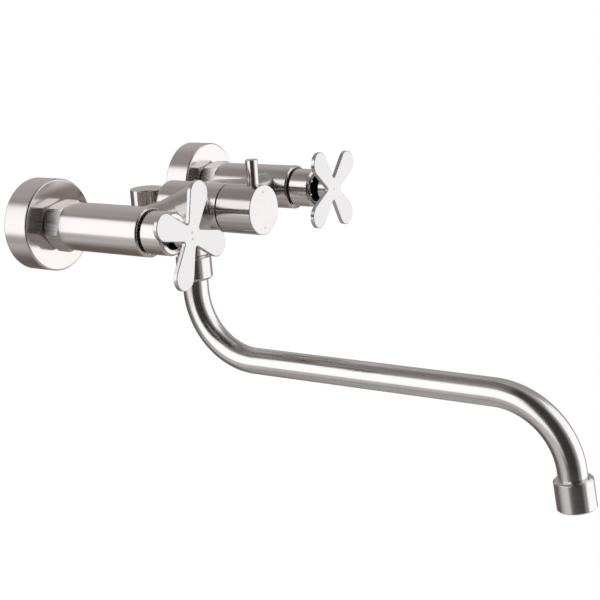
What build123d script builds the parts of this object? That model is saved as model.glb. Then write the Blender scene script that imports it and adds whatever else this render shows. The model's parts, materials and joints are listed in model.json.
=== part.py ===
from build123d import *
from math import sqrt
import os

# Wall-mounted bath mixer: two turning handles, a rotary diverter, a swinging spout and a hose outlet.
# Millimetres. +X is the cold side, +Z is up, and the wall is the plane Y = 0. The mixer stands out
# along -Y. The origin is on the wall, midway between the two wall threads.
# A depth is a distance out from the wall, so a point at depth d has Y = -d.
# The pieces are drawn level with the barrels' axes, and lifted at the end by the unions' offset.

# Layout
inlet_spacing = 150.0
barrel_radius = 14.3
barrel_length = 59.2
arm_from_barrel_front = 18.7
centre_radius = 15.2
centre_front_from_arm = 17.5
centre_length = 46.5
spout_axis_from_arm = 13.7

# Fits: radial gaps, and the small end gaps between pieces that turn past each other
turning_gap = 0.05
thread_gap = 0.05
slip_gap = 0.10
o_ring_gap = 0.01
end_gap = 0.10

# Wall union: an offset thread into the wall and a straight nose for the coupling nut
pipe_thread_radius = 10.48
wall_thread_length = 12.0
wall_thread_drop = 8.0
wall_bore_radius = 7.5
union_collar_radius = 19.5
union_collar_back = 1.5
union_collar_thickness = 6.5
union_nose_radius = 12.0
union_nose_length = 15.5
union_key_across_flats = 14.0
union_bore_overlap = 3.0
thread_lead_in = 1.0

# Flange cover, screwed on the union's nose
flange_radius = 27.5
flange_depth = 17.4
flange_wall = 1.2
flange_face_thickness = 1.5
flange_boss_radius = 14.5
flange_boss_length = 6.0
flange_edge = 0.8

# Coupling nut, split ring and washer
nut_across_flats = 27.0
nut_length = 12.0
nut_angle = 10.0
nut_shoulder = 2.9
nut_rear_rise = 2.6
nut_rear_chamfer = 2.2
nut_front_rise = 1.4
nut_front_chamfer = 0.7
tail_radius = 10.0
tail_length = 5.0
inlet_washer_thickness = 1.5
inlet_washer_bore = 7.6
split_ring_thickness = 1.2
split_ring_depth = 0.9
split_ring_opening = 3.0

# Body passages
inlet_bore_radius = 7.5
seat_hole_radius = 6.0
seat_web = 3.0
arm_end_radius = 10.8
arm_root_radius = 14.7
arm_root_reach = 14.0
arm_taper_end = 40.0
arm_bore_radius = 6.0
barrel_recess_radius = 13.3
barrel_recess_depth = 5.7
barrel_edge = 0.4
barrel_front_edge = 0.9
centre_rear_round = 2.0
centre_rear_wall = 4.5
chamber_radius = 12.5

# Hose outlet behind the body
outlet_depth = 23.0
outlet_radius = 10.75
outlet_top = 9.5
outlet_shoulder = -17.0
outlet_thread_length = 13.0
outlet_screw_radius = 9.0
outlet_screw_length = 8.0
outlet_bore_radius = 7.0
outlet_bore_top = 2.0
outlet_edge = 0.5
neck_radius = 8.5
neck_drop = 6.3
hose_port_radius = 3.2
hose_port_drop = 7.0

# Ceramic headwork
headwork_reach = 23.5
headwork_thread_length = 8.5
skirt_radius = 10.0
skirt_start = 0.6
disc_radius = 8.25
disc_thickness = 3.5
seat_seal_thickness = 1.6
seat_seal_bore = 5.8
disc_port_inner = 2.2
disc_port_outer = 6.8
disc_port_angle = 70.0
closed_disc_angle = 90.0
window_width = 11.0
gasket_thickness = 0.8
headwork_flange_radius = 11.4
headwork_flange_thickness = 1.2
headwork_hex_across_flats = 19.0
headwork_hex_thickness = 3.0
headwork_neck_radius = 8.8
headwork_neck_length = 9.5
spindle_radius = 5.0
spindle_driver_thickness = 2.9
spindle_driver_width = 5.6
tongue_width = 4.0
tongue_length = 13.0
tongue_depth = 1.5
spline_radius = 4.0
spline_start = 1.4
spindle_ring_spacing = 4.0
o_ring_groove_depth = 1.0
o_ring_groove_width = 1.4
circlip_thickness = 1.0
circlip_reach = 2.2
circlip_groove_depth = 0.7
circlip_opening = 3.2

# Sleeve
sleeve_radius = 12.4
sleeve_length = 16.5
sleeve_neck_radius = 11.5
sleeve_neck_length = 1.8
sleeve_edge = 0.5
sleeve_front_edge = 1.2

# Cross handle
handle_plate_thickness = 2.5
handle_plate_edge = 0.3
handle_reach = 31.2
petal_tip_radius = 7.7
petal_root_half_width = 4.4
petal_notch_radius = 1.5
petal_count = 4
hub_radius = 7.5
hub_length = 6.0
hub_behind_sleeve = 4.5
hub_edge = 0.6
hub_web = 1.5
hot_handle_angle = 68.0
cold_handle_angle = 38.5
grub_radius = 2.0
grub_length = 3.3
grub_key_across_flats = 2.0
grub_key_depth = 1.6

# Diverter
diverter_thread_length = 11.0
diverter_flange_radius = 13.2
diverter_flange_thickness = 1.4
diverter_hex_across_flats = 20.0
diverter_hex_thickness = 4.0
rotor_length = 19.0
rotor_wall = 2.9
rotor_rear_wall = 3.0
rotor_back_gap = 0.6
rotor_socket_radius = 4.8
rotor_socket_length = 6.0
square_drive = 5.0
spout_port_radius = 5.0
port_seal_width = 1.8
port_seal_recess = 1.0
knob_length = 25.5
knob_gap = 0.7
knob_recess_radius = 13.4
knob_recess_clearance = 0.7
knob_edge = 0.3
knob_front_wall = 4.5
lever_radius = 3.8
lever_top = 30.5
lever_from_face = 7.0
lever_thread_radius = 2.5
lever_seat_sink = 0.6
lever_edge = 0.4

# Spout joint
socket_radius = 10.2
socket_bottom = -31.9
socket_edge = 1.0
socket_thread_radius = 9.3
socket_thread_length = 10.6
socket_bore_radius = 8.6
socket_bore_depth = 20.5
spout_nut_top_radius = 11.3
spout_nut_low_radius = 11.5
spout_nut_edge = 0.4
spout_nut_gap = 0.7
spout_nut_bevel = 1.7
spout_nut_shoulder = 2.5
tail_flange_thickness = 1.6
tail_flange_radius = 9.2
tail_top_clearance = 4.0
tail_bore_radius = 6.0
spigot_length = 5.5
slip_ring_thickness = 0.8
tail_ring_spacing = 5.0
tail_ring_from_top = 4.0

# Spout tube
tube_radius = 8.25
tube_wall = 1.2
tube_straight_down = 8.2
first_bend_radius = 43.0
straight_length = 162.0
straight_rise_angle = 0.9
second_bend_radius = 45.0
outlet_lean_angle = 8.0
tube_end_straight = 4.3

# Spout end and aerator
collar_radius = 11.1
collar_length = 17.5
collar_top_bevel = 1.1
collar_low_edge = 0.6
collar_grip = 3.5
collar_thread_radius = 9.5
aerator_washer_thickness = 1.5
aerator_washer_bore = 6.6
aerator_insert_length = 6.5
aerator_cell = 1.9
aerator_cell_spacing = 2.7
aerator_cells_across = 5
aerator_ring_wall = 1.6
aerator_ring_length = 4.4
aerator_notch_width = 2.0
aerator_notch_depth = 1.2

# Places worked out from the sizes above
union_face = union_collar_back + union_collar_thickness + union_nose_length
tail_end = union_face + inlet_washer_thickness
barrel_back = tail_end + tail_length
barrel_front = barrel_back + barrel_length
arm_depth = barrel_front - arm_from_barrel_front
centre_front = arm_depth + centre_front_from_arm
centre_back = centre_front - centre_length
spout_depth = arm_depth - spout_axis_from_arm
recess_floor = barrel_front - barrel_recess_depth
seat_depth = recess_floor - headwork_reach
headwork_bore_radius = pipe_thread_radius + thread_gap
fixed_disc_back = seat_depth + seat_seal_thickness
moving_disc_back = fixed_disc_back + disc_thickness
driver_back = moving_disc_back + disc_thickness
headwork_block_back = recess_floor - headwork_thread_length
hex_back = recess_floor + gasket_thickness
hex_front = hex_back + headwork_flange_thickness + headwork_hex_thickness
neck_front = hex_front + headwork_neck_length
sleeve_front = hex_front + sleeve_length
hub_back = sleeve_front + hub_behind_sleeve
hub_front = hub_back + hub_length
chamber_back = centre_back + centre_rear_wall
rotor_back = chamber_back + rotor_back_gap
rotor_front = rotor_back + rotor_length
rotor_radius = chamber_radius - slip_gap
diverter_block_back = centre_front - diverter_thread_length
diverter_flange_front = centre_front + diverter_flange_thickness
diverter_hex_front = diverter_flange_front + diverter_hex_thickness
knob_back = centre_front + knob_gap
knob_front = knob_back + knob_length
knob_recess_front = diverter_hex_front + knob_recess_clearance
diverter_spindle_front = knob_front - knob_front_wall
lever_depth = knob_front - lever_from_face
lever_seat = centre_radius - lever_seat_sink
socket_end = socket_bottom - socket_thread_length
spout_nut_top = socket_bottom - spout_nut_gap
tail_flange_top = socket_end - end_gap
tail_flange_low = tail_flange_top - tail_flange_thickness
slip_ring_low = tail_flange_low - slip_ring_thickness
spout_shoulder_low = slip_ring_low - spout_nut_shoulder
tube_top = spout_shoulder_low + spout_nut_shoulder / 2
tail_top = socket_end + socket_bore_depth - tail_top_clearance
sides = {"hot": -inlet_spacing / 2, "cold": inlet_spacing / 2}
handle_angles = {"hot": hot_handle_angle, "cold": cold_handle_angle}


def rod_y(radius, back, front, x=0.0, z=0.0):
    return Pos(x, -(back + front) / 2, z) * Cylinder(radius, front - back, rotation=(90, 0, 0))


def rod_z(radius, low, high, y):
    return Pos(0, y, (low + high) / 2) * Cylinder(radius, high - low)


def rod_x(radius, start, end, depth):
    return Pos((start + end) / 2, -depth, 0) * Cylinder(radius, end - start, rotation=(0, 90, 0))


def turned_y(outline, x=0.0, z=0.0):
    # a turned piece on an axis along Y, from (depth, radius) points
    face = make_face(Polyline(*[(radius, -depth) for depth, radius in outline], close=True))
    return Pos(x, 0, z) * revolve(face, Axis.Y)


def turned_z(outline):
    # a turned piece on the Z axis, from (height, radius) points
    face = make_face(Polyline(*[(radius, height) for height, radius in outline], close=True))
    return revolve(Plane.XZ * face, Axis.Z)


def washer_y(outer, inner, back, front, x=0.0, z=0.0):
    return rod_y(outer, back, front, x, z) - rod_y(inner, back, front, x, z)


def hexagon_y(across_flats, back, front, x=0.0, turn=0.0):
    outline = RegularPolygon(across_flats / 2, 6, major_radius=False, rotation=turn)
    prism = extrude(outline, front - back)
    return Pos(x, -back, 0) * Rot(90, 0, 0) * prism


def sector_y(inner, outer, angle, back, front, turn):
    # a ring sector along Y, centred on the given angle
    ring = Circle(outer) - Circle(inner)
    reach = 2 * outer
    wedge = make_face(Polyline((0, 0), Vector(reach, 0).rotate(Axis.Z, -angle / 2),
                               Vector(reach, 0).rotate(Axis.Z, angle / 2), close=True))
    prism = extrude(Rot(0, 0, turn) * (ring & wedge), front - back)
    return Pos(0, -back, 0) * Rot(90, 0, 0) * prism


def o_ring(bottom, bore):
    # an O-ring that fills the space between a groove's bottom and the bore round it
    section = (bore - bottom) / 2 - o_ring_gap
    return Torus((bore + bottom) / 2, section)


def flange_cover(x):
    inner = flange_radius - flange_wall
    face_back = flange_depth - flange_face_thickness
    boss_back = face_back - flange_boss_length
    thread = union_nose_radius + thread_gap
    return turned_y([(0, inner), (0, flange_radius), (flange_depth - flange_edge, flange_radius),
                     (flange_depth, flange_radius - flange_edge), (flange_depth, thread),
                     (boss_back, thread), (boss_back, flange_boss_radius),
                     (face_back, flange_boss_radius), (face_back, inner)], x)


def wall_union(x):
    collar_front = union_collar_back + union_collar_thickness
    middle = (union_collar_back + collar_front) / 2
    wall_end = -wall_thread_length
    thread = turned_y([(wall_end, 0), (wall_end, pipe_thread_radius - thread_lead_in),
                       (wall_end + thread_lead_in, pipe_thread_radius), (middle, pipe_thread_radius),
                       (middle, 0)], x, -wall_thread_drop)
    nose = turned_y([(union_collar_back, 0), (union_collar_back, union_collar_radius),
                     (collar_front, union_collar_radius), (collar_front, union_nose_radius),
                     (union_face - thread_lead_in, union_nose_radius),
                     (union_face, union_nose_radius - thread_lead_in), (union_face, 0)], x)
    wall_bore = rod_y(wall_bore_radius, wall_end, middle + union_bore_overlap / 2, x, -wall_thread_drop)
    key = hexagon_y(union_key_across_flats, middle - union_bore_overlap / 2, union_face, x)
    return thread + nose - wall_bore - key


def coupling_nut(x):
    front = barrel_back - slip_gap
    back = front - nut_length
    corner = nut_across_flats / sqrt(3)
    blank = hexagon_y(nut_across_flats, back, front, x, nut_angle)
    rounded = turned_y([(back, 0), (back, corner - nut_rear_rise), (back + nut_rear_chamfer, corner),
                        (front - nut_front_chamfer, corner), (front, corner - nut_front_rise),
                        (front, 0)], x)
    thread = rod_y(union_nose_radius + thread_gap, back, front - nut_shoulder, x)
    return (blank & rounded) - thread - rod_y(tail_radius + slip_gap, back, front, x)


def split_ring(x):
    front = barrel_back - slip_gap - nut_shoulder
    inner = tail_radius - split_ring_depth + slip_gap
    ring = washer_y(union_nose_radius - slip_gap, inner, front - split_ring_thickness, front, x)
    opening = Pos(x, -front, -union_nose_radius) * Box(split_ring_opening, 4 * split_ring_thickness,
                                                       union_nose_radius)
    return ring - opening


def inlet_washer(x):
    return washer_y(union_nose_radius - slip_gap, inlet_washer_bore, union_face, tail_end, x)


def cross_arms():
    # both arms in one turned piece along X: full size at the centre, tapering to the barrels
    reach = inlet_spacing / 2
    half = [(0, arm_root_radius), (arm_root_reach, arm_root_radius), (arm_taper_end, arm_end_radius),
            (reach, arm_end_radius)]
    outline = [(-along, radius) for along, radius in reversed(half)] + half[1:]
    face = make_face(Polyline((-reach, 0), *outline, (reach, 0), close=True))
    return Pos(0, -arm_depth, 0) * revolve(face, Axis.X)


def barrel(x):
    ring_front = barrel_back - slip_gap - nut_shoulder
    ring_back = ring_front - split_ring_thickness - slip_gap
    groove = tail_radius - split_ring_depth
    return turned_y([(tail_end, 0), (tail_end, tail_radius), (ring_back, tail_radius),
                     (ring_back, groove), (ring_front + slip_gap, groove),
                     (ring_front + slip_gap, tail_radius), (barrel_back, tail_radius),
                     (barrel_back, barrel_radius - barrel_edge),
                     (barrel_back + barrel_edge, barrel_radius),
                     (barrel_front - barrel_front_edge, barrel_radius),
                     (barrel_front, barrel_radius - barrel_front_edge), (barrel_front, 0)], x)


def barrel_passages(x):
    seat = seat_depth - seat_web
    return (rod_y(inlet_bore_radius, tail_end, seat, x) + rod_y(seat_hole_radius, tail_end, seat_depth, x)
            + rod_y(headwork_bore_radius, seat_depth, recess_floor, x)
            + rod_y(barrel_recess_radius, recess_floor, barrel_front, x))


def hose_outlet():
    post = turned_z([(outlet_shoulder, 0), (outlet_shoulder, outlet_radius),
                     (outlet_top - outlet_edge, outlet_radius), (outlet_top, outlet_radius - outlet_edge),
                     (outlet_top, 0)])
    neck = rod_y(neck_radius, outlet_depth, centre_back + centre_rear_wall / 2, 0, -neck_drop)
    return Pos(0, -outlet_depth, 0) * post + neck


def hose_outlet_nipple():
    # screwed up into the outlet, with the hose's thread below the shoulder
    end = outlet_shoulder - outlet_thread_length
    top = outlet_shoulder + outlet_screw_length - end_gap
    return Pos(0, -outlet_depth, 0) * turned_z([
        (end, outlet_bore_radius), (end, pipe_thread_radius - thread_lead_in),
        (end + thread_lead_in, pipe_thread_radius), (outlet_shoulder, pipe_thread_radius),
        (outlet_shoulder, outlet_screw_radius), (top, outlet_screw_radius), (top, outlet_bore_radius)])


def mixer_body():
    centre = rod_y(centre_radius, centre_back, centre_front)
    centre = fillet(centre.edges().sort_by(Axis.Y)[-1], centre_rear_round)
    socket = Pos(0, -spout_depth, 0) * turned_z([
        (0, 0), (0, socket_radius), (socket_bottom + socket_edge, socket_radius),
        (socket_bottom, socket_radius - socket_edge), (socket_bottom, socket_thread_radius),
        (socket_end, socket_thread_radius), (socket_end, 0)])
    body = centre + cross_arms() + socket + hose_outlet()
    hollow = rod_y(chamber_radius, chamber_back, centre_front)
    hollow += rod_x(arm_bore_radius, -inlet_spacing / 2, inlet_spacing / 2, arm_depth)
    hollow += rod_z(spout_port_radius, socket_end, 0, -spout_depth)
    hollow += rod_z(socket_bore_radius, socket_end, socket_end + socket_bore_depth, -spout_depth)
    hollow += rod_y(hose_port_radius, outlet_depth, chamber_back, 0, -hose_port_drop)
    hollow += rod_y(hose_port_radius + port_seal_width, chamber_back - port_seal_recess, chamber_back,
                    0, -hose_port_drop)
    hollow += rod_z(outlet_bore_radius, outlet_shoulder, outlet_bore_top, -outlet_depth)
    hollow += rod_z(outlet_screw_radius + thread_gap, outlet_shoulder,
                    outlet_shoulder + outlet_screw_length, -outlet_depth)
    for x in sides.values():
        body += barrel(x)
        hollow += barrel_passages(x)
    return body - hollow


def seat_seal(x):
    return washer_y(disc_radius, seat_seal_bore, seat_depth, fixed_disc_back, x)


def disc(back, turn):
    blank = rod_y(disc_radius, back, back + disc_thickness)
    for half_turn in (0, 180):
        blank -= sector_y(disc_port_inner, disc_port_outer, disc_port_angle, back,
                          back + disc_thickness, turn + half_turn)
    return blank


def fixed_disc(x):
    return Pos(x, 0, 0) * disc(fixed_disc_back, 0)


def moving_disc(x):
    slot_depth = tongue_depth + end_gap
    slot = Pos(0, -driver_back, 0) * Box(tongue_length + slip_gap, 2 * slot_depth, tongue_width + slip_gap)
    return Pos(x, 0, 0) * (disc(moving_disc_back, closed_disc_angle) - slot)


def spindle(x):
    shaft_back = driver_back + spindle_driver_thickness
    clip_back = neck_front + end_gap
    clip_front = clip_back + circlip_thickness + end_gap
    shaft_front = clip_front + spline_start
    groove = spindle_radius - circlip_groove_depth
    driver = rod_y(disc_radius - slip_gap, driver_back, shaft_back)
    driver &= Pos(0, -driver_back, 0) * Box(4 * disc_radius, 4 * spindle_driver_thickness,
                                            spindle_driver_width)
    tongue = Pos(0, -driver_back + tongue_depth / 2, 0) * Box(tongue_length, tongue_depth, tongue_width)
    shaft = turned_y([(driver_back, 0), (driver_back, spindle_radius), (clip_back, spindle_radius),
                      (clip_back, groove), (clip_front, groove), (clip_front, spindle_radius),
                      (shaft_front, spindle_radius), (shaft_front, spline_radius),
                      (hub_front - hub_web - end_gap, spline_radius), (hub_front - hub_web - end_gap, 0)])
    solid = driver + tongue + shaft
    for back in spindle_ring_places():
        solid -= washer_y(spindle_radius + slip_gap, spindle_radius - o_ring_groove_depth,
                          back, back + o_ring_groove_width)
    return Pos(x, 0, 0) * solid


def spindle_ring_places():
    middle = (headwork_block_back + hex_front) / 2
    return [middle - spindle_ring_spacing / 2, middle + spindle_ring_spacing / 2]


def spindle_o_rings(x):
    ring = o_ring(spindle_radius - o_ring_groove_depth, spindle_radius + turning_gap)
    return Compound(children=[Pos(x, -(back + o_ring_groove_width / 2), 0) * Rot(90, 0, 0) * ring
                              for back in spindle_ring_places()])


def headwork_body(x):
    skirt_back = seat_depth + skirt_start
    skirt_bore = disc_radius + slip_gap
    bore = spindle_radius + turning_gap
    flange_front = hex_back + headwork_flange_thickness
    solid = turned_y([(skirt_back, skirt_bore), (skirt_back, skirt_radius),
                      (headwork_block_back, skirt_radius), (headwork_block_back, pipe_thread_radius),
                      (recess_floor, pipe_thread_radius), (recess_floor, headwork_neck_radius),
                      (hex_back, headwork_neck_radius),
                      (hex_back, headwork_flange_radius), (flange_front, headwork_flange_radius),
                      (flange_front, headwork_neck_radius), (neck_front, headwork_neck_radius),
                      (neck_front, bore), (headwork_block_back, bore), (headwork_block_back, skirt_bore)])
    hexagon = hexagon_y(headwork_hex_across_flats, flange_front, hex_front)
    solid += hexagon - rod_y(bore, flange_front, hex_front)
    window = Pos(0, -(driver_back + headwork_block_back) / 2, 0) * Box(
        4 * skirt_radius, headwork_block_back - driver_back, window_width)
    return Pos(x, 0, 0) * (solid - window)


def headwork_gasket(x):
    return washer_y(headwork_flange_radius, headwork_neck_radius + slip_gap, recess_floor, hex_back, x)


def circlip(x):
    back = neck_front + end_gap + end_gap / 2
    inner = spindle_radius - circlip_groove_depth + end_gap / 2
    ring = washer_y(inner + circlip_reach, inner, back, back + circlip_thickness)
    opening = Pos(0, -back, inner) * Box(circlip_opening, 4 * circlip_thickness, 2 * circlip_reach)
    return Pos(x, 0, 0) * (ring - opening)


def sleeve(x):
    step = hex_front + sleeve_neck_length
    bore = headwork_neck_radius + thread_gap
    return turned_y([(hex_front, bore), (hex_front, sleeve_neck_radius), (step, sleeve_neck_radius),
                     (step, sleeve_radius - sleeve_edge), (step + sleeve_edge, sleeve_radius),
                     (sleeve_front - sleeve_front_edge, sleeve_radius),
                     (sleeve_front, sleeve_radius - sleeve_front_edge), (sleeve_front, bore)], x)


def handle_hub(x):
    floor = hub_front - hub_web
    bore = spline_radius + turning_gap
    solid = turned_y([(hub_back, bore), (hub_back, hub_radius - hub_edge), (hub_back + hub_edge, hub_radius),
                      (hub_front, hub_radius), (hub_front, 0), (floor, 0), (floor, bore)])
    depth = (hub_back + floor) / 2
    grub_hole = Pos(0, -depth, -hub_radius) * Cylinder(grub_radius + thread_gap, 2 * hub_radius)
    return Pos(x, 0, 0) * (solid - grub_hole)


def petal():
    # one paddle-shaped petal along +X: a round tip, with straight sides that narrow to the centre
    tip = Pos(handle_reach - petal_tip_radius, 0) * Circle(petal_tip_radius)
    root = Line((petal_root_half_width, -petal_root_half_width),
                (petal_root_half_width, petal_root_half_width))
    return make_hull([*tip.edges(), root])


def handle_plate(x, turn):
    outline = Rectangle(2 * petal_root_half_width, 2 * petal_root_half_width)
    for step in range(petal_count):
        outline += Rot(0, 0, step * 360 / petal_count) * petal()
    plate = extrude(outline, handle_plate_thickness)
    notches = [edge for edge in plate.edges().filter_by(Axis.Z)
               if Vector(edge.center().X, edge.center().Y, 0).length < hub_radius]
    plate = fillet(notches, petal_notch_radius)
    plate = chamfer(plate.faces().sort_by(Axis.Z)[-1].edges(), handle_plate_edge)
    return Pos(x, -hub_front, 0) * Rot(90, 0, 0) * Rot(0, 0, turn) * plate


def grub_screw(x):
    depth = (hub_back + hub_front - hub_web) / 2
    top = -spline_radius - turning_gap
    screw = Pos(0, 0, -grub_length / 2) * Cylinder(grub_radius, grub_length)
    key = extrude(RegularPolygon(grub_key_across_flats / 2, 6, major_radius=False), grub_key_depth)
    return Pos(x, -depth, top) * (screw - Pos(0, 0, -grub_length) * key)


def housing_groove_back():
    return diverter_block_back + o_ring_groove_width


def diverter_housing():
    bore = spindle_radius + turning_gap
    solid = turned_y([(diverter_block_back, bore), (diverter_block_back, chamber_radius - thread_gap),
                      (centre_front, chamber_radius - thread_gap), (centre_front, diverter_flange_radius),
                      (diverter_flange_front, diverter_flange_radius), (diverter_flange_front, bore)])
    hexagon = hexagon_y(diverter_hex_across_flats, diverter_flange_front, diverter_hex_front)
    hexagon -= rod_y(bore, diverter_flange_front, diverter_hex_front)
    groove = washer_y(chamber_radius, chamber_radius - thread_gap - o_ring_groove_depth,
                      housing_groove_back(), housing_groove_back() + o_ring_groove_width)
    return solid + hexagon - groove


def diverter_housing_o_ring():
    ring = o_ring(chamber_radius - thread_gap - o_ring_groove_depth, chamber_radius)
    return Pos(0, -(housing_groove_back() + o_ring_groove_width / 2), 0) * Rot(90, 0, 0) * ring


def diverter_ring_places():
    middle = (diverter_block_back + diverter_hex_front) / 2
    return [middle - spindle_ring_spacing / 2, middle + spindle_ring_spacing / 2]


def diverter_spindle():
    drive_back = rotor_back + rotor_rear_wall
    drive_front = drive_back + rotor_socket_length
    drive = square_drive - 2 * turning_gap
    collar_front = diverter_block_back - end_gap
    solid = turned_y([(drive_front, 0), (drive_front, spindle_radius),
                      (collar_front - circlip_thickness, spindle_radius),
                      (collar_front - circlip_thickness, spindle_radius + circlip_thickness),
                      (collar_front, spindle_radius + circlip_thickness), (collar_front, spindle_radius),
                      (diverter_hex_front, spindle_radius), (diverter_hex_front, spline_radius),
                      (diverter_spindle_front, spline_radius), (diverter_spindle_front, 0)])
    solid += Pos(0, -(drive_back + end_gap + drive_front) / 2, 0) * Box(
        drive, rotor_socket_length - end_gap, drive)
    for back in diverter_ring_places():
        solid -= washer_y(spindle_radius + slip_gap, spindle_radius - o_ring_groove_depth,
                          back, back + o_ring_groove_width)
    return solid


def diverter_spindle_o_rings():
    ring = o_ring(spindle_radius - o_ring_groove_depth, spindle_radius + turning_gap)
    return Compound(children=[Pos(0, -(back + o_ring_groove_width / 2), 0) * Rot(90, 0, 0) * ring
                              for back in diverter_ring_places()])


def rotor_groove_back():
    return rotor_front - 2 * o_ring_groove_width


def diverter_rotor():
    floor = rotor_back + rotor_rear_wall
    socket_front = floor + rotor_socket_length
    inner = rotor_radius - rotor_wall
    solid = turned_y([(rotor_back, 0), (rotor_back, rotor_radius), (rotor_front, rotor_radius),
                      (rotor_front, inner), (floor, inner), (floor, rotor_socket_radius),
                      (socket_front, rotor_socket_radius), (socket_front, 0)])
    solid -= Pos(0, -(floor + socket_front) / 2, 0) * Box(square_drive, rotor_socket_length, square_drive)
    # side window over the spout port at rest, and the rear window a quarter turn away from the hose port
    solid -= Pos(0, -spout_depth, -rotor_radius) * Cylinder(spout_port_radius, 2 * rotor_wall)
    solid -= rod_y(hose_port_radius, rotor_back, floor, hose_port_drop, 0)
    groove = washer_y(chamber_radius, rotor_radius - o_ring_groove_depth,
                      rotor_groove_back(), rotor_groove_back() + o_ring_groove_width)
    return solid - groove


def diverter_rotor_o_ring():
    ring = o_ring(rotor_radius - o_ring_groove_depth, chamber_radius)
    return Pos(0, -(rotor_groove_back() + o_ring_groove_width / 2), 0) * Rot(90, 0, 0) * ring


def diverter_port_seal():
    outer = hose_port_radius + port_seal_width - slip_gap
    return washer_y(outer, hose_port_radius, chamber_back - port_seal_recess, rotor_back - end_gap,
                    0, -hose_port_drop)


def diverter_knob():
    solid = turned_y([(knob_back, knob_recess_radius), (knob_back, centre_radius - knob_edge),
                      (knob_back + knob_edge, centre_radius), (knob_front - knob_edge, centre_radius),
                      (knob_front, centre_radius - knob_edge), (knob_front, 0),
                      (diverter_spindle_front + end_gap, 0),
                      (diverter_spindle_front + end_gap, spline_radius + turning_gap),
                      (knob_recess_front, spline_radius + turning_gap),
                      (knob_recess_front, knob_recess_radius)])
    seat = rod_z(lever_radius + turning_gap, lever_seat, centre_radius + lever_radius, -lever_depth)
    thread = rod_z(lever_thread_radius + thread_gap, 0, lever_seat, -lever_depth)
    return solid - seat - thread


def diverter_lever_pin():
    tip = spline_radius + turning_gap
    pin = turned_z([(tip, 0), (tip, lever_thread_radius), (lever_seat, lever_thread_radius),
                    (lever_seat, lever_radius), (lever_top - lever_edge, lever_radius),
                    (lever_top, lever_radius - lever_edge), (lever_top, 0)])
    return Pos(0, -lever_depth, 0) * pin


def spout_nut():
    bevel_top = spout_shoulder_low + spout_nut_bevel
    thread = socket_thread_radius + thread_gap
    hole = tube_radius + slip_gap
    nut = turned_z([(spout_nut_top, thread), (spout_nut_top, spout_nut_top_radius - spout_nut_edge),
                    (spout_nut_top - spout_nut_edge, spout_nut_top_radius), (bevel_top, spout_nut_low_radius),
                    (spout_shoulder_low, spout_nut_low_radius - spout_nut_bevel),
                    (spout_shoulder_low, hole), (slip_ring_low, hole), (slip_ring_low, thread)])
    return Pos(0, -spout_depth, 0) * nut


def tail_ring_tops():
    return [tail_top - tail_ring_from_top, tail_top - tail_ring_from_top - tail_ring_spacing]


def spout_tail():
    outer = socket_bore_radius - turning_gap
    spigot = tube_radius - tube_wall - turning_gap
    tail = turned_z([(tail_top, tail_bore_radius), (tail_top, outer), (tail_flange_top, outer),
                     (tail_flange_top, tail_flange_radius), (tail_flange_low, tail_flange_radius),
                     (tail_flange_low, tube_radius), (tube_top, tube_radius), (tube_top, spigot),
                     (tube_top - spigot_length, spigot), (tube_top - spigot_length, tail_bore_radius)])
    for top in tail_ring_tops():
        low = top - o_ring_groove_width
        tail -= Pos(0, 0, (top + low) / 2) * (Cylinder(socket_bore_radius, o_ring_groove_width)
                                              - Cylinder(outer - o_ring_groove_depth, o_ring_groove_width))
    return Pos(0, -spout_depth, 0) * tail


def spout_tail_o_rings():
    ring = o_ring(socket_bore_radius - turning_gap - o_ring_groove_depth, socket_bore_radius)
    return Compound(children=[Pos(0, -spout_depth, top - o_ring_groove_width / 2) * ring
                              for top in tail_ring_tops()])


def spout_slip_ring():
    ring = Cylinder(tail_flange_radius, slip_ring_thickness)
    ring -= Cylinder(tube_radius + slip_gap, slip_ring_thickness)
    return Pos(0, -spout_depth, (tail_flange_low + slip_ring_low) / 2) * ring


def spout_path():
    # the tube's centre line, drawn in the upright plane through the swivel with outward as its X
    plane = Plane(origin=(0, -spout_depth, 0), x_dir=(0, -1, 0), z_dir=(-1, 0, 0))
    down = Line((0, tube_top), (0, tube_top - tube_straight_down))
    first = JernArc(down @ 1, (0, -1), first_bend_radius, 90 + straight_rise_angle)
    straight = Line(first @ 1, (first @ 1) + (first % 1) * straight_length)
    second = JernArc(straight @ 1, first % 1, second_bend_radius,
                     -(90 + straight_rise_angle - outlet_lean_angle))
    tip = Line(second @ 1, (second @ 1) + (second % 1) * (tube_end_straight + collar_grip))
    path = plane * Wire([*down.edges(), *first.edges(), *straight.edges(), *second.edges(), *tip.edges()])
    end = (second @ 1) + (second % 1) * tube_end_straight
    flow = second % 1
    mouth = Plane(origin=plane.from_local_coords(end), x_dir=(1, 0, 0),
                  z_dir=plane.from_local_coords(flow) - plane.origin)
    return path, mouth


def spout_tube():
    path, mouth = spout_path()
    start = Plane(origin=path @ 0, z_dir=path % 0)
    section = start * (Circle(tube_radius) - Circle(tube_radius - tube_wall))
    return sweep(section, path)


def at_mouth(piece):
    # places a piece turned about Z, with its flow along +Z, at the end of the tube
    path, mouth = spout_path()
    return mouth.location * piece


def collar_floor():
    return collar_grip + collar_top_bevel


def spout_end_collar():
    low_edge = collar_length - collar_low_edge
    return at_mouth(turned_z([
        (0, tube_radius + turning_gap), (0, collar_radius - collar_top_bevel),
        (collar_top_bevel, collar_radius),
        (low_edge, collar_radius), (collar_length, collar_radius - collar_low_edge),
        (collar_length, collar_thread_radius), (collar_floor(), collar_thread_radius),
        (collar_floor(), tube_radius - tube_wall), (collar_grip, tube_radius - tube_wall),
        (collar_grip, tube_radius + turning_gap)]))


def aerator_washer():
    back = collar_floor()
    front = back + aerator_washer_thickness
    outer = collar_thread_radius - slip_gap
    return at_mouth(turned_z([(back, aerator_washer_bore), (back, outer), (front, outer),
                              (front, aerator_washer_bore)]))


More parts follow.
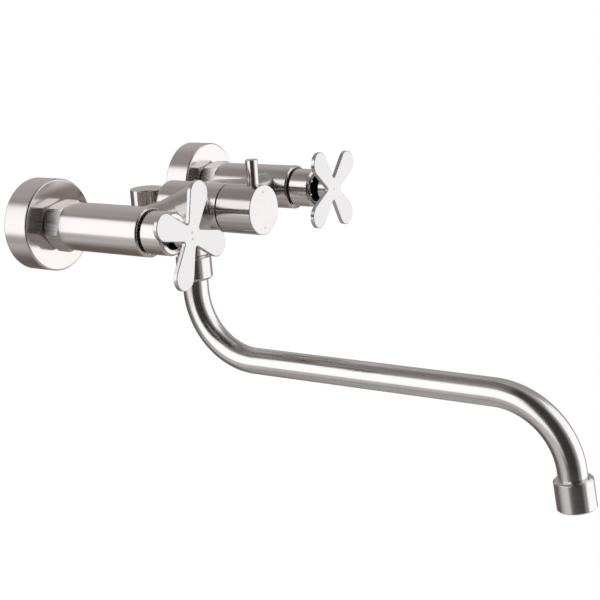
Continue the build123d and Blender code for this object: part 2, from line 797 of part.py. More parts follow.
def aerator_insert():
    # a straightener grid of square cells inside a plain wall
    back = collar_floor() + aerator_washer_thickness
    body = Pos(0, 0, back + aerator_insert_length / 2) * Cylinder(collar_thread_radius - slip_gap,
                                                                  aerator_insert_length)
    cell = Pos(0, 0, back + aerator_insert_length / 2) * Box(aerator_cell, aerator_cell,
                                                             aerator_insert_length)
    middle = (aerator_cells_across - 1) / 2
    reach = collar_thread_radius - aerator_ring_wall - slip_gap
    for column in range(aerator_cells_across):
        for row in range(aerator_cells_across):
            x = (column - middle) * aerator_cell_spacing
            y = (row - middle) * aerator_cell_spacing
            if Vector(abs(x) + aerator_cell / 2, abs(y) + aerator_cell / 2, 0).length < reach:
                body -= Pos(x, y, 0) * cell
    return at_mouth(body)


def aerator_ring():
    back = collar_floor() + aerator_washer_thickness + aerator_insert_length
    outer = collar_thread_radius - thread_gap
    ring = Pos(0, 0, back + aerator_ring_length / 2) * (
        Cylinder(outer, aerator_ring_length) - Cylinder(outer - aerator_ring_wall, aerator_ring_length))
    low = back + aerator_ring_length
    ring -= Pos(0, 0, low) * Box(4 * outer, aerator_notch_width, 2 * aerator_notch_depth)
    return at_mouth(ring)


def build_parts():
    parts = {"mixer_body": mixer_body(), "hose_outlet_nipple": hose_outlet_nipple()}
    for side, x in sides.items():
        parts[side + "_flange_cover"] = flange_cover(x)
        parts[side + "_wall_union"] = wall_union(x)
        parts[side + "_coupling_nut"] = coupling_nut(x)
        parts[side + "_split_ring"] = split_ring(x)
        parts[side + "_inlet_washer"] = inlet_washer(x)
        parts[side + "_seat_seal"] = seat_seal(x)
        parts[side + "_fixed_disc"] = fixed_disc(x)
        parts[side + "_moving_disc"] = moving_disc(x)
        parts[side + "_spindle"] = spindle(x)
        parts[side + "_spindle_o_rings"] = spindle_o_rings(x)
        parts[side + "_headwork_body"] = headwork_body(x)
        parts[side + "_headwork_gasket"] = headwork_gasket(x)
        parts[side + "_circlip"] = circlip(x)
        parts[side + "_sleeve"] = sleeve(x)
        parts[side + "_handle_hub"] = handle_hub(x)
        parts[side + "_handle_plate"] = handle_plate(x, handle_angles[side])
        parts[side + "_grub_screw"] = grub_screw(x)
    parts["diverter_housing"] = diverter_housing()
    parts["diverter_housing_o_ring"] = diverter_housing_o_ring()
    parts["diverter_spindle"] = diverter_spindle()
    parts["diverter_spindle_o_rings"] = diverter_spindle_o_rings()
    parts["diverter_rotor"] = diverter_rotor()
    parts["diverter_rotor_o_ring"] = diverter_rotor_o_ring()
    parts["diverter_port_seal"] = diverter_port_seal()
    parts["diverter_knob"] = diverter_knob()
    parts["diverter_lever_pin"] = diverter_lever_pin()
    parts["spout_nut"] = spout_nut()
    parts["spout_slip_ring"] = spout_slip_ring()
    parts["spout_tail"] = spout_tail()
    parts["spout_tail_o_rings"] = spout_tail_o_rings()
    parts["spout_tube"] = spout_tube()
    parts["spout_end_collar"] = spout_end_collar()
    parts["aerator_washer"] = aerator_washer()
    parts["aerator_insert"] = aerator_insert()
    parts["aerator_ring"] = aerator_ring()
    return parts


os.makedirs("parts", exist_ok=True)
for name, solid in build_parts().items():
    export_step(Pos(0, 0, wall_thread_drop) * solid, "parts/" + name + ".step")
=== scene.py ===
# Looks, light and camera for the wall-mounted bath mixer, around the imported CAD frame.
import json
import math

import bmesh
import bpy
from mathutils import Matrix, Vector


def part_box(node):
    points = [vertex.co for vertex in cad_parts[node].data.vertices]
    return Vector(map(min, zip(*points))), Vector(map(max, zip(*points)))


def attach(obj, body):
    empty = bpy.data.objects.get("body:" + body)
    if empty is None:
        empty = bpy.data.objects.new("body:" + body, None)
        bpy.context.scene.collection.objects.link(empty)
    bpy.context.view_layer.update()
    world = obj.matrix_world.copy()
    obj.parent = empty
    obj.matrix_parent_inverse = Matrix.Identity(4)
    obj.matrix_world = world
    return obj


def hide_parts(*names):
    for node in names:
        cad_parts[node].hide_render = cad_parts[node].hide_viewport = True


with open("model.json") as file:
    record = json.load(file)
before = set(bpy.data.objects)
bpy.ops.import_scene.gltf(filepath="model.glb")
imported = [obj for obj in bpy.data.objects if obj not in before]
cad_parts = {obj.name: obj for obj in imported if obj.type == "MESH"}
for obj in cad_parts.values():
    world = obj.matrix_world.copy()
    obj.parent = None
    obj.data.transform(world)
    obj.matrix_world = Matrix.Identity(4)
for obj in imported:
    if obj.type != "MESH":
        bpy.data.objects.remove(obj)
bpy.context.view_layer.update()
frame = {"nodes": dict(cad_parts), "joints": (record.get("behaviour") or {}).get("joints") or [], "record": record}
nodes = frame["nodes"]
mounts = {mount["name"]: mount for mount in frame["record"]["mounts"]}
pivots = {joint["child"]: joint["pos_m"] for joint in frame["joints"]}

# Driving sizes in metres: the barrels' axes lie INLET to each side and LIFT above the inlets, and the wall's
# plane is at Y = WALL
MM = 0.001
SIDES = ("hot", "cold")
INLET = mounts["cold_wall_thread"]["pos_m"][0]
LIFT = pivots["diverter"][2]
WALL = 0.0


# Node helpers
def rgb(r, g, b):
    return (r, g, b, 1.0)


def scaled(color, factor):
    """A colour made lighter or darker, as a socket's value."""
    return rgb(*(min(1.0, value * factor) for value in color))


class Tree:
    """A short way to add and link the nodes of a material or a world."""

    def __init__(self, owner):
        owner.use_nodes = True
        self.tree = owner.node_tree
        self.tree.nodes.clear()

    def add(self, kind):
        return self.tree.nodes.new(kind)

    def link(self, source, target):
        self.tree.links.new(source, target)

    def feed(self, socket, value):
        """Sets a socket to a constant, or links another socket to it."""
        if isinstance(value, (int, float, tuple)):
            socket.default_value = value
        else:
            self.link(value, socket)

    def math(self, operation, a, b=0.0):
        node = self.add("ShaderNodeMath")
        node.operation = operation
        self.feed(node.inputs[0], a)
        self.feed(node.inputs[1], b)
        return node.outputs[0]

    def parts(self, vector):
        """The X, Y and Z of a vector."""
        node = self.add("ShaderNodeSeparateXYZ")
        self.link(vector, node.inputs[0])
        return node.outputs

    def ramp(self, factor, low, high, to_low=0.0, to_high=1.0, smooth=True):
        node = self.add("ShaderNodeMapRange")
        node.interpolation_type = "SMOOTHSTEP" if smooth else "LINEAR"
        for socket, value in zip(node.inputs, (factor, low, high, to_low, to_high)):
            self.feed(socket, value)
        return node.outputs[0]

    def around(self, noise, roughness):
        """A roughness that a noise varies a little."""
        return self.ramp(noise, NOISE_LOW, NOISE_HIGH, roughness * (1 - ROUGH_SPREAD),
                         roughness * (1 + ROUGH_SPREAD))

    def mix(self, factor, a, b):
        node = self.add("ShaderNodeMix")
        node.data_type = "RGBA"
        self.feed(node.inputs[0], factor)
        self.feed(node.inputs[6], a)
        self.feed(node.inputs[7], b)
        return node.outputs[2]

    def shared(self, a, share, b):
        """The sum of two values, of which the first has the given share."""
        return self.math("ADD", self.math("MULTIPLY", a, share), self.math("MULTIPLY", b, 1 - share))

    def noise(self, vector, scale, detail, roughness):
        node = self.add("ShaderNodeTexNoise")
        node.noise_dimensions = "3D"
        self.link(vector, node.inputs["Vector"])
        node.inputs["Scale"].default_value = scale
        node.inputs["Detail"].default_value = detail
        node.inputs["Roughness"].default_value = roughness
        return node.outputs["Fac"]

    def stretched(self, vector, scale):
        node = self.add("ShaderNodeMapping")
        self.link(vector, node.inputs["Vector"])
        node.inputs["Scale"].default_value = scale
        return node.outputs["Vector"]

    def relief(self, height, strength, depth, edge=0.0):
        """A normal with fine relief, over edges rounded by a radius in metres where there is one."""
        bump = self.add("ShaderNodeBump")
        bump.inputs["Strength"].default_value = strength
        bump.inputs["Distance"].default_value = depth
        self.link(height, bump.inputs["Height"])
        if edge:
            rounded = self.add("ShaderNodeBevel")
            rounded.samples = EDGE_SAMPLES
            rounded.inputs["Radius"].default_value = edge
            self.link(rounded.outputs[0], bump.inputs["Normal"])
        return bump.outputs["Normal"]

    def principled(self, base, rough, normal):
        shader = self.add("ShaderNodeBsdfPrincipled")
        self.link(base, shader.inputs["Base Color"])
        self.link(rough, shader.inputs["Roughness"])
        self.link(normal, shader.inputs["Normal"])
        self.end("ShaderNodeOutputMaterial", shader)
        return shader

    def end(self, kind, shader):
        self.link(shader.outputs[0], self.add(kind).inputs["Surface"])


# Where things are on the body, for its shading: distances from the middle, and a depth and a height
ARM_START = 12 * MM
ARM_BLEND = 16 * MM
ARM_END = 61 * MM
BRUSH_FADE = 2 * MM
SHADE_FADE = 6 * MM
OUTLET_FRONT = -35 * MM
SOCKET_TOP = LIFT - 14 * MM
SOCKET_BLEND = 4 * MM

# The range of a noise that counts, and its middle
NOISE_LOW = 0.3
NOISE_HIGH = 0.7
NOISE_MIDDLE = 0.5

# Brush marks and the slow clouds over them: the coarse marks' scale against the fine ones, how much each
# noise counts, how far they change the colour and the roughness, and how deep the marks are
COARSE_GRAIN = 0.22
FINE_SHARE = 0.6
LINES_SHARE = 0.7
CLOUD_SCALE = 45.0
TONE_REACH = 0.22
TONE_DARKER = 2.4
TONE_LIGHTER = 1.2
ROUGH_SPREAD = 0.15
ROUGH_CLOUD = 0.3
BRUSH_DEPTH = 0.03 * MM

# Painted shade on the arms, painted highlights on convex edges, edges rounded in the shading, and painted shade
# inside the sleeves
ARM_PAINTED_SHADE = rgb(0.20, 0.185, 0.18)
ARM_PAINTED_SHADE_SHARE = 0.30
EDGE_HIGHLIGHT_START = 0.52
EDGE_HIGHLIGHT_END = 0.60
EDGE_HIGHLIGHT_SHARE = 0.6
EDGE_HIGHLIGHT_LIGHTER = 1.1
EDGE_SAMPLES = 4
INSIDE_PAINTED_SHADE = rgb(0.025, 0.022, 0.020)
INSIDE_ROUGHNESS = 0.6
INSIDE_MARGIN = 1 * MM

# The Y of a normal where a face looks to the front or the back, and where it looks straight forward
FRONT_OR_BACK = 0.7
FACE_START = -0.95
FACE_END = -0.85


def arm_share(t, away, fade_start, fade_end):
    """1 on the arms and 0 on the centre tube and the barrels, by the distance away from the middle."""
    return t.math("MULTIPLY", t.ramp(away, ARM_START, ARM_START + ARM_BLEND),
                  t.ramp(away, fade_start, fade_end, 1.0, 0.0))


def brush_direction(t, coords, normal, layout):
    """The tangent along the axis of each turned form. On the body the arms run along X, the socket and the
    hose outlet along Z, and the rest along Y. Faces that look to the front or the back take Z instead of Y.
    At rest every piece's object sits at the origin, so its coordinates are the frame's."""
    out = t.add("ShaderNodeCombineXYZ")
    along_x, along_y, along_z = out.inputs
    if layout == "along_z":
        along_z.default_value = 1.0
        return out.outputs[0]
    faces_front = t.math("GREATER_THAN", t.math("ABSOLUTE", t.parts(normal)[1]), FRONT_OR_BACK)
    if layout == "along_y":
        t.link(t.math("SUBTRACT", 1.0, faces_front), along_y)
        t.link(faces_front, along_z)
        return out.outputs[0]
    x, y, z = t.parts(coords)
    away = t.math("ABSOLUTE", x)
    beside = arm_share(t, away, ARM_END - BRUSH_FADE, ARM_END)
    low = t.ramp(z, SOCKET_TOP - SOCKET_BLEND, SOCKET_TOP, 1.0, 0.0)
    behind = t.math("GREATER_THAN", y, OUTLET_FRONT)
    upright = t.math("MULTIPLY", t.math("MAXIMUM", low, behind), t.math("LESS_THAN", away, ARM_START))
    either = t.math("MAXIMUM", t.math("MAXIMUM", beside, upright), faces_front)
    t.link(beside, along_x)
    t.link(t.math("SUBTRACT", 1.0, either), along_y)
    t.link(t.math("SUBTRACT", either, beside), along_z)
    return out.outputs[0]


def inside_sleeve(t, coords, normal):
    """1 where a sleeve's surface faces its own axis, and 0 elsewhere."""
    x, _, z = t.parts(coords)
    normal_x, _, normal_z = t.parts(normal)
    across = t.math("SUBTRACT", t.math("ABSOLUTE", x), INLET)
    outward = t.math("MULTIPLY", t.math("MULTIPLY", across, t.math("SIGN", x)), normal_x)
    upward = t.math("MULTIPLY", t.math("SUBTRACT", z, LIFT), normal_z)
    return t.math("LESS_THAN", t.math("ADD", outward, upward), -INSIDE_MARGIN)


def metal(name, color, roughness, grain, layout=None, grain_strength=0.05, tone=0.035, anisotropy=0.6,
          face=None, face_roughness=None, edge=0.5, painted_shade_inside=False):
    """Brushed metal. grain is the noise scale per metre along X, Y and Z: high across the brush marks.
    layout is the way that reflections blur, or None where they blur evenly. tone is how much the colour
    varies. face and face_roughness are for the faces that look forward, when their polish differs from the
    sides. edge is the radius in millimetres that polishing leaves along the chamfers. The last argument is
    for the sleeves: it makes their inner surfaces rougher and paints shade on them, near black."""
    material = bpy.data.materials.new(name)
    t = Tree(material)
    coords = t.add("ShaderNodeTexCoord").outputs["Object"]
    geometry = t.add("ShaderNodeNewGeometry").outputs
    normal = geometry["Normal"]
    forward = t.ramp(t.parts(normal)[1], FACE_START, FACE_END, 1.0, 0.0)

    # the brush marks, fine and coarse, and slow clouds over them
    coarse_grain = tuple(COARSE_GRAIN * value for value in grain)
    fine = t.noise(t.stretched(coords, grain), scale=1.0, detail=3.0, roughness=0.7)
    coarse = t.noise(t.stretched(coords, coarse_grain), scale=1.0, detail=2.0, roughness=0.5)
    lines = t.shared(fine, FINE_SHARE, coarse)
    cloud = t.noise(coords, CLOUD_SCALE, detail=3.0, roughness=0.5)

    # the colour
    shift = t.math("SUBTRACT", t.shared(lines, LINES_SHARE, cloud), NOISE_MIDDLE)
    paler = t.ramp(shift, -TONE_REACH, TONE_REACH)
    darker = 1 - TONE_DARKER * tone
    base = t.mix(paler, scaled(color, darker), scaled(color, 1 + TONE_LIGHTER * tone))
    if face:
        base = t.mix(forward, base, t.mix(paler, scaled(face, darker), rgb(*face)))
    # painted shade on the arms: their colour is mixed part way towards a dark grey
    if layout == "body":
        away = t.math("ABSOLUTE", t.parts(coords)[0])
        on_arm = arm_share(t, away, ARM_END - SHADE_FADE, ARM_END + SHADE_FADE)
        base = t.mix(t.math("MULTIPLY", on_arm, ARM_PAINTED_SHADE_SHARE), base, ARM_PAINTED_SHADE)
    # painted highlight on convex edges: where pointiness is high the colour turns paler
    edge_highlight = t.math("MULTIPLY", t.ramp(geometry["Pointiness"], EDGE_HIGHLIGHT_START, EDGE_HIGHLIGHT_END), EDGE_HIGHLIGHT_SHARE)
    base = t.mix(edge_highlight, base, scaled(color, EDGE_HIGHLIGHT_LIGHTER))

    # the roughness
    along_lines = t.around(lines, roughness)
    in_clouds = t.math("MULTIPLY", t.math("SUBTRACT", cloud, NOISE_MIDDLE), roughness * ROUGH_CLOUD)
    rough = t.math("ADD", along_lines, in_clouds)
    if face_roughness:
        change = t.ramp(forward, 0.0, 1.0, 1.0, face_roughness / roughness, smooth=False)
        rough = t.math("MULTIPLY", rough, change)
    # painted shade inside the sleeves: their inner surfaces turn near black and rough
    if painted_shade_inside:
        inside = inside_sleeve(t, coords, normal)
        base = t.mix(inside, base, INSIDE_PAINTED_SHADE)
        rough = t.math("MAXIMUM", rough, t.math("MULTIPLY", inside, INSIDE_ROUGHNESS))

    shader = t.principled(base, rough, t.relief(lines, grain_strength, BRUSH_DEPTH, edge * MM))
    shader.inputs["Metallic"].default_value = 1.0
    if layout:
        shader.inputs["Anisotropic"].default_value = anisotropy
        t.link(brush_direction(t, coords, normal, layout), shader.inputs["Tangent"])
    return material


# How the moulded and lapped materials are made: their mottling, and how strong their texture is
MOTTLE_SCALE = 90.0
MOTTLE_SHARE = 0.7
MOTTLE_LOW = 0.35
MOTTLE_HIGH = 0.65
TEXTURE_STRENGTH = 0.25


def moulded(name, color, roughness, grain=900.0, depth=0.03 * MM, tone=0.12):
    """Rubber, plastic and ceramic: a fine texture, with grain as its noise scale per metre, and slight
    mottling."""
    material = bpy.data.materials.new(name)
    t = Tree(material)
    coords = t.add("ShaderNodeTexCoord").outputs["Object"]
    fine = t.noise(coords, grain, detail=4.0, roughness=0.6)
    cloud = t.noise(coords, MOTTLE_SCALE, detail=3.0, roughness=0.5)
    paler = t.ramp(t.shared(cloud, MOTTLE_SHARE, fine), MOTTLE_LOW, MOTTLE_HIGH)
    base = t.mix(paler, scaled(color, 1 - tone), scaled(color, 1 + tone))
    t.principled(base, t.around(cloud, roughness), t.relief(fine, TEXTURE_STRENGTH, depth))
    return material


# Colours of the steel that shows, and its grain: brush marks round an axis, along one, or without direction
STEEL = (0.66, 0.63, 0.615)
KNOB_SIDE = (0.56, 0.53, 0.515)
KNOB_FACE = (0.66, 0.64, 0.635)
COLLAR_STEEL = (0.68, 0.665, 0.67)
SPOUT_STEEL = (0.70, 0.685, 0.685)
PLATE_STEEL = (0.60, 0.585, 0.58)
PLATE_FACE = (0.61, 0.60, 0.60)
MARK_STEEL = (0.47, 0.455, 0.45)
ROUND_Y = (60, 5200, 60)
ROUND_Z = (60, 60, 5200)
ALONG_X = (60, 3600, 3600)
ALONG_Y = (3000, 60, 3000)
BODY_GRAIN = (700, 2600, 700)
FINE_GRAIN = (1400, 1400, 1400)
materials = {
    "steel_round_y": metal("brushed_steel_round_y", STEEL, 0.18, ROUND_Y, "along_y"),
    "steel_cover": metal("brushed_steel_cover", STEEL, 0.23, ROUND_Y, "along_y", tone=0.06, face=STEEL,
                         face_roughness=0.13, edge=0.8),
    "steel_sleeve": metal("brushed_steel_sleeve", STEEL, 0.18, ROUND_Y, "along_y", painted_shade_inside=True),
    "steel_knob": metal("brushed_steel_knob", KNOB_SIDE, 0.15, ROUND_Y, "along_y", face=KNOB_FACE),
    "steel_body": metal("brushed_steel_body", STEEL, 0.18, BODY_GRAIN, "body"),
    "steel_round_z": metal("fine_steel_round_z", COLLAR_STEEL, 0.20, ROUND_Z, "along_z"),
    "steel_spout": metal("fine_steel_spout", SPOUT_STEEL, 0.20, FINE_GRAIN, grain_strength=0.02, edge=0),
    "steel_pin": metal("polished_steel_pin", STEEL, 0.06, ROUND_Z, "along_z", grain_strength=0.02, tone=0.02),
    "steel_face": metal("brushed_steel_face", PLATE_STEEL, 0.22, ALONG_X, face=PLATE_FACE),
    "steel_mark": metal("etched_steel_mark", MARK_STEEL, 0.30, FINE_GRAIN, face=MARK_STEEL, edge=0),
    "steel_nut": metal("brushed_steel_nut", STEEL, 0.24, ALONG_Y, "along_y", anisotropy=0.9),
    "spring_steel": metal("spring_steel", (0.30, 0.30, 0.31), 0.45, ROUND_Y),
    # dark metal for the diverter's inner parts, and painted shade on the headwork bodies inside the sleeves
    "dark_nickel": metal("dark_nickel", (0.17, 0.165, 0.16), 0.48, ROUND_Y),
    "brass": metal("machined_brass", (0.72, 0.53, 0.26), 0.27, ROUND_Y, grain_strength=0.15, tone=0.08),
    "rubber": moulded("black_rubber", (0.018, 0.018, 0.018), 0.75),
    "ceramic": moulded("lapped_ceramic", (0.86, 0.84, 0.78), 0.22, grain=1600.0, depth=0.01 * MM, tone=0.03),
    "white_plastic": moulded("white_plastic", (0.80, 0.80, 0.76), 0.42, grain=700.0, depth=0.02 * MM,
                             tone=0.04),
    "grey_plastic": moulded("grey_plastic", (0.36, 0.37, 0.38), 0.45, grain=700.0, depth=0.02 * MM,
                            tone=0.08),
}

# Which material each node gets: first the pieces that each side has, then the single ones
side_finish = {
    "flange_cover": "steel_cover", "wall_union": "brass",
    "coupling_nut": "steel_nut", "split_ring": "spring_steel", "inlet_washer": "rubber",
    "seat_seal": "rubber", "fixed_disc": "ceramic", "moving_disc": "ceramic", "spindle": "steel_pin",
    # the headwork body's dark metal is painted shade for the inside of the sleeve
    "spindle_o_rings": "rubber", "headwork_body": "dark_nickel", "headwork_gasket": "rubber",
    "circlip": "spring_steel", "sleeve": "steel_sleeve", "handle_hub": "steel_round_y",
    "handle_plate": "steel_face", "grub_screw": "spring_steel"}
finish = {
    "mixer_body": "steel_body", "hose_outlet_nipple": "brass",
    "diverter_housing": "dark_nickel", "diverter_housing_o_ring": "rubber",
    "diverter_spindle": "dark_nickel", "diverter_spindle_o_rings": "rubber",
    "diverter_rotor": "white_plastic", "diverter_rotor_o_ring": "rubber", "diverter_port_seal": "rubber",
    "diverter_knob": "steel_knob", "diverter_lever_pin": "steel_pin", "spout_nut": "steel_round_z",
    "spout_slip_ring": "white_plastic", "spout_tail": "brass", "spout_tail_o_rings": "rubber",
    "spout_tube": "steel_spout", "spout_end_collar": "steel_round_z", "aerator_washer": "rubber",
    "aerator_insert": "grey_plastic", "aerator_ring": "steel_round_z"}
for side in SIDES:
    for piece, key in side_finish.items():
        finish[side + "_" + piece] = key
for name, key in finish.items():
    mesh = nodes[name].data
    mesh.materials.clear()
    mesh.materials.append(materials[key])


# Mesh helpers
def new_object(name, data):
    made = bpy.data.objects.new(name, data)
    bpy.context.collection.objects.link(made)
    return made


def join_rings(work, low, high):
    """The band of faces between two rings with as many points."""
    for index in range(len(low)):
        after = (index + 1) % len(low)
        work.faces.new((low[index], low[after], high[after], high[index]))


# Threads: the plain cylinders of the union and nipple nodes, cut with a real helix. The root and the crest
# are where the slope between them starts and ends, as shares of half a pitch
THREAD_PITCH = 1.814 * MM
THREAD_DEPTH = 1.16 * MM
ROWS_A_TURN = 12
ROOT_SHARE = 0.15
CREST_SHARE = 0.85
MERGE_DISTANCE = 0.001 * MM
RADIUS_ERROR = 0.01 * MM
SHARP_ANGLE = math.radians(35)


def smooth(value, low, high):
    value = min(1.0, max(0.0, (value - low) / (high - low)))
    return value * value * (3 - 2 * value)


def threaded(node, mount, axis, first=-math.inf):
    """A copy of the node whose plain cylinder along the axis is a right-handed thread. It is as long as the
    mount's thread, or begins at first where that comes later."""
    u, v = (axis + 1) % 3, (axis + 2) % 3
    center = mount["pos_m"]
    outer = mount["dims"]["r_mm"] * MM
    half = mount["dims"]["length_mm"] * MM / 2
    start, end = max(first, center[axis] - half), center[axis] + half

    def off_axis(vertex):
        return math.hypot(vertex.co[u] - center[u], vertex.co[v] - center[v])

    def turn(vertex):
        return math.atan2(vertex.co[v] - center[v], vertex.co[u] - center[u])

    def on_helix(along, angle):
        fade = smooth(along, start, start + THREAD_PITCH) * (1 - smooth(along, end - THREAD_PITCH, end))
        phase = (along / THREAD_PITCH - angle / math.tau) % 1.0
        crest = smooth(1 - abs(2 * phase - 1), ROOT_SHARE, CREST_SHARE)
        radius = outer - THREAD_DEPTH * (1 - crest) * fade
        point = [0.0, 0.0, 0.0]
        point[axis] = along
        point[u] = center[u] + radius * math.cos(angle)
        point[v] = center[v] + radius * math.sin(angle)
        return point

    # take the plain cylinder out
    mesh = nodes[node].data.copy()
    mesh.name = node + "_threaded"
    mesh.attributes.remove(mesh.attributes["custom_normal"])
    work = bmesh.new()
    work.from_mesh(mesh)
    bmesh.ops.remove_doubles(work, verts=work.verts, dist=MERGE_DISTANCE)
    plain = [face for face in work.faces
             if all(abs(off_axis(vertex) - outer) < RADIUS_ERROR for vertex in face.verts)]
    bmesh.ops.delete(work, geom=plain, context="FACES")

    # put the thread between the two rims that this leaves
    rims = {vertex for edge in work.edges if edge.is_boundary for vertex in edge.verts}
    middle = sum(vertex.co[axis] for vertex in rims) / len(rims)
    low = sorted((vertex for vertex in rims if vertex.co[axis] < middle), key=turn)
    high = sorted((vertex for vertex in rims if vertex.co[axis] > middle), key=turn)
    assert len(low) == len(high), (node, len(low), len(high))
    bottom, top = low[0].co[axis], high[0].co[axis]
    rows = int((top - bottom) / THREAD_PITCH * ROWS_A_TURN)
    rings = [low]
    for row in range(1, rows):
        along = bottom + (top - bottom) * row / rows
        rings.append([work.verts.new(on_helix(along, turn(vertex))) for vertex in high])
    rings.append(high)
    for below, above in zip(rings, rings[1:]):
        join_rings(work, below, above)
    bmesh.ops.recalc_face_normals(work, faces=work.faces)
    for face in work.faces:
        face.smooth = True
    work.to_mesh(mesh)
    work.free()
    mesh.set_sharp_from_angle(angle=SHARP_ANGLE)
    piece = new_object(node + "_threaded", mesh)
    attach(piece, "mixer")
    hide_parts(node)


threaded("hose_outlet_nipple", mounts["hose_outlet_thread"], 2)
for side in SIDES:
    threaded(side + "_wall_union", mounts[side + "_wall_thread"], 1, first=WALL)

# Marks on the handles and the knob: plain dots that stand a hair proud of the face
MARK_HEIGHT = 0.04 * MM
MARK_SUNK = 0.06 * MM
DOT_RADIUS = 0.9 * MM
DOT_TOP = 0.85
DOT_SIDES = 32
HANDLE_DOT = 1.8 * MM
KNOB_DOT = 11.0 * MM


def dot(work, center, face_y):
    """One round dot with a sloped side, its center given as (x, z)."""
    angles = [math.tau * index / DOT_SIDES for index in range(DOT_SIDES)]
    rings = []
    for radius, rise in ((DOT_RADIUS, -MARK_SUNK), (DOT_TOP * DOT_RADIUS, MARK_HEIGHT)):
        rings.append([work.verts.new((center[0] + radius * math.cos(angle), face_y - rise,
                                      center[1] + radius * math.sin(angle))) for angle in angles])
        work.faces.new(rings[-1])
    join_rings(work, *rings)


def mark(name, body, face_y, heights):
    """A group of dots on one face, at heights above the axis that the body turns about."""
    x, _, z = pivots[body]
    work = bmesh.new()
    for height in heights:
        dot(work, (x, z + height), face_y)
    bmesh.ops.recalc_face_normals(work, faces=work.faces)
    mesh = bpy.data.meshes.new(name)
    work.to_mesh(mesh)
    work.free()
    mesh.materials.append(materials["steel_mark"])
    piece = new_object(name, mesh)
    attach(piece, body)


plate_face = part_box("hot_handle_plate")[0][1]
knob_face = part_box("diverter_knob")[0][1]
mark("hot_handle_mark", "hot_handle", plate_face, (HANDLE_DOT, -HANDLE_DOT))
mark("cold_handle_mark", "cold_handle", plate_face, (0.0,))
mark("diverter_knob_marks", "diverter", knob_face, (KNOB_DOT, -KNOB_DOT))

# Floor: its height and half its width in metres, its colour, and how white and how bright the camera sees it
FLOOR_HEIGHT = -0.62
FLOOR_REACH = 14.0
FLOOR_COLOR = rgb(0.82, 0.82, 0.82)
FLOOR_WHITE = 0.92
FLOOR_LIGHT = 0.05


def floor():
    """A pale floor that keeps the shadow, and that a mirror direction passes through to the studio."""
    corners = [(x * FLOOR_REACH, y * FLOOR_REACH, 0) for x, y in ((-1, -1), (1, -1), (1, 1), (-1, 1))]
    mesh = bpy.data.meshes.new("floor")
    mesh.from_pydata(corners, [], [(0, 1, 2, 3)])
    material = bpy.data.materials.new("pale_floor")
    mesh.materials.append(material)
    plane = new_object("floor", mesh)
    plane.location = (0, 0, FLOOR_HEIGHT)

    t = Tree(material)
    path = t.add("ShaderNodeLightPath").outputs
    diffuse = t.add("ShaderNodeBsdfDiffuse")
    diffuse.inputs["Color"].default_value = FLOOR_COLOR
    white = t.add("ShaderNodeEmission")
    seen = t.add("ShaderNodeMixShader")
    t.link(t.math("MULTIPLY", path["Is Camera Ray"], FLOOR_WHITE), seen.inputs[0])
    t.link(diffuse.outputs[0], seen.inputs[1])
    t.link(white.outputs[0], seen.inputs[2])
    light = t.add("ShaderNodeEmission")
    t.link(t.math("MULTIPLY", path["Is Camera Ray"], FLOOR_LIGHT), light.inputs["Strength"])
    lit = t.add("ShaderNodeAddShader")
    t.link(seen.outputs[0], lit.inputs[0])
    t.link(light.outputs[0], lit.inputs[1])
    clear = t.add("ShaderNodeBsdfTransparent")
    through = t.add("ShaderNodeMixShader")
    t.link(path["Is Glossy Ray"], through.inputs[0])
    t.link(lit.outputs[0], through.inputs[1])
    t.link(clear.outputs[0], through.inputs[2])
    t.end("ShaderNodeOutputMaterial", through)


# Studio: the room's own tone grows darker towards the top, from one sine of the elevation to another
ROOM_TONE = rgb(0.36, 0.335, 0.325)
TOP_TONE = rgb(0.19, 0.175, 0.17)
TOP_START = 0.72
TOP_END = 0.98


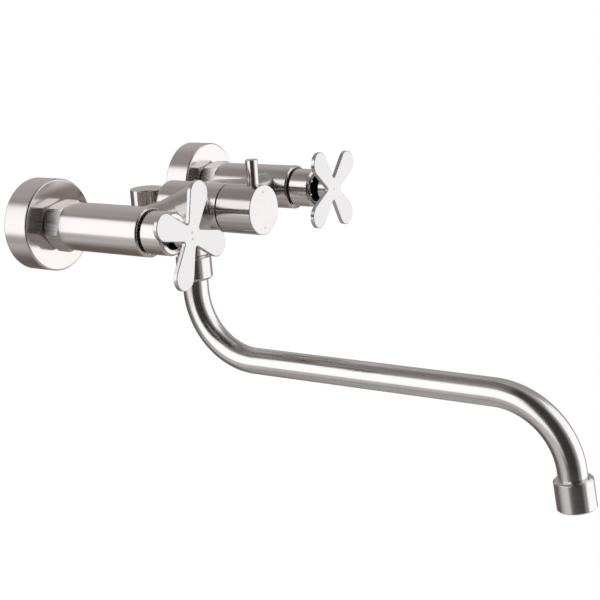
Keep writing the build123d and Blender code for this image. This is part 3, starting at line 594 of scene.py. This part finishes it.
def studio():
    """A world of soft panels by direction, white where the camera looks straight at it."""
    world = bpy.data.worlds.new("studio")
    bpy.context.scene.world = world
    t = Tree(world)
    x, y, z = t.parts(t.add("ShaderNodeTexCoord").outputs["Generated"])
    rise = t.math("ARCSINE", z)

    def panel(start, end, low, high, soft):
        """A soft-edged box of directions, in degrees: 0 is the front, 90 the cold side, 180 the wall."""
        middle = math.radians((start + end) / 2)
        out = t.math("ADD", t.math("MULTIPLY", x, math.sin(middle)), t.math("MULTIPLY", y, -math.cos(middle)))
        side = t.math("ADD", t.math("MULTIPLY", x, math.cos(middle)), t.math("MULTIPLY", y, math.sin(middle)))
        turn = t.math("ABSOLUTE", t.math("ARCTAN2", side, out))
        tilt = t.math("ABSOLUTE", t.math("SUBTRACT", rise, math.radians((low + high) / 2)))
        wide, tall, edge = (math.radians(value) for value in ((end - start) / 2, (high - low) / 2, soft))
        return t.math("MULTIPLY", t.ramp(turn, wide - edge, wide + edge, 1.0, 0.0),
                      t.ramp(tilt, tall - edge, tall + edge, 1.0, 0.0))

    # each panel lies over the ones before it
    panels = (
        # dark low right
        (panel(116, 168, -26, 2, 7), rgb(0.17, 0.15, 0.14)),
        # wall side, right
        (panel(108, 196, 5, 50, 9), rgb(0.54, 0.505, 0.49)),
        # below
        (panel(-200, 200, -95, -50, 8), rgb(0.49, 0.465, 0.455)),
        # brown low, right
        (panel(140, 192, -54, -24, 9), rgb(0.15, 0.12, 0.105)),
        # overhead, right
        (panel(15, 135, 56, 76, 7), rgb(0.54, 0.52, 0.51)),
        # beside the front white
        (panel(60, 120, 6, 60, 8), rgb(0.42, 0.40, 0.39)),
        # pale low, left
        (panel(-160, -100, -42, -24, 7), rgb(0.62, 0.595, 0.59)),
        # pale under the large white
        (panel(-142, -100, -27, -6, 6), rgb(0.78, 0.765, 0.76)),
        # dark corner of the wall side
        (panel(-190, -142, -25, -3, 6), rgb(0.15, 0.115, 0.095)),
        # dark side behind the camera
        (panel(-99, -20, -26, 100, 9), rgb(0.050, 0.044, 0.042)),
        # large white, left
        (panel(-153, -89, -13.5, 38, 4), rgb(1.50, 1.50, 1.52)),
        # white, front right
        (panel(1, 72, -24, 34, 6), rgb(1.45, 1.45, 1.46)),
        # white, front right, upper
        (panel(3, 60, 26, 56, 6), rgb(1.35, 1.35, 1.36)),
    )
    color = t.mix(t.ramp(z, TOP_START, TOP_END), ROOM_TONE, TOP_TONE)
    for factor, shade in panels:
        color = t.mix(factor, color, shade)
    color = t.mix(t.add("ShaderNodeLightPath").outputs["Is Camera Ray"], color, rgb(1, 1, 1))
    background = t.add("ShaderNodeBackground")
    t.link(color, background.inputs["Color"])
    t.end("ShaderNodeOutputWorld", background)


# Camera, as fitted to the photograph: angles in radians, place in metres, focal length in the photograph's
# pixels, sensor in millimetres
AZIMUTH = math.radians(-56.195)
ELEVATION = math.radians(14.934)
ROLL = math.radians(-3.406)
EYE = (-0.57554, -0.52170, 0.13063 + LIFT)
FOCAL_PIXELS = 1184.58
PHOTO_PIXELS = 600
SENSOR_WIDTH = 36.0
CLIP_END = 60.0


def camera():
    back = Vector((math.sin(AZIMUTH) * math.cos(ELEVATION), -math.cos(AZIMUTH) * math.cos(ELEVATION),
                   math.sin(ELEVATION)))
    right = Vector((math.cos(AZIMUTH), math.sin(AZIMUTH), 0))
    up = back.cross(right)
    turned_right = math.cos(ROLL) * right + math.sin(ROLL) * up
    turned_up = -math.sin(ROLL) * right + math.cos(ROLL) * up
    data = bpy.data.cameras.new("camera")
    data.sensor_width = SENSOR_WIDTH
    data.lens = FOCAL_PIXELS / PHOTO_PIXELS * SENSOR_WIDTH
    data.clip_end = CLIP_END
    eye = new_object("camera", data)
    rotation = Matrix((turned_right, turned_up, back)).transposed()
    eye.matrix_world = Matrix.Translation(EYE) @ rotation.to_4x4()
    bpy.context.scene.camera = eye


floor()
studio()
camera()
bpy.context.scene.view_settings.view_transform = "Standard"
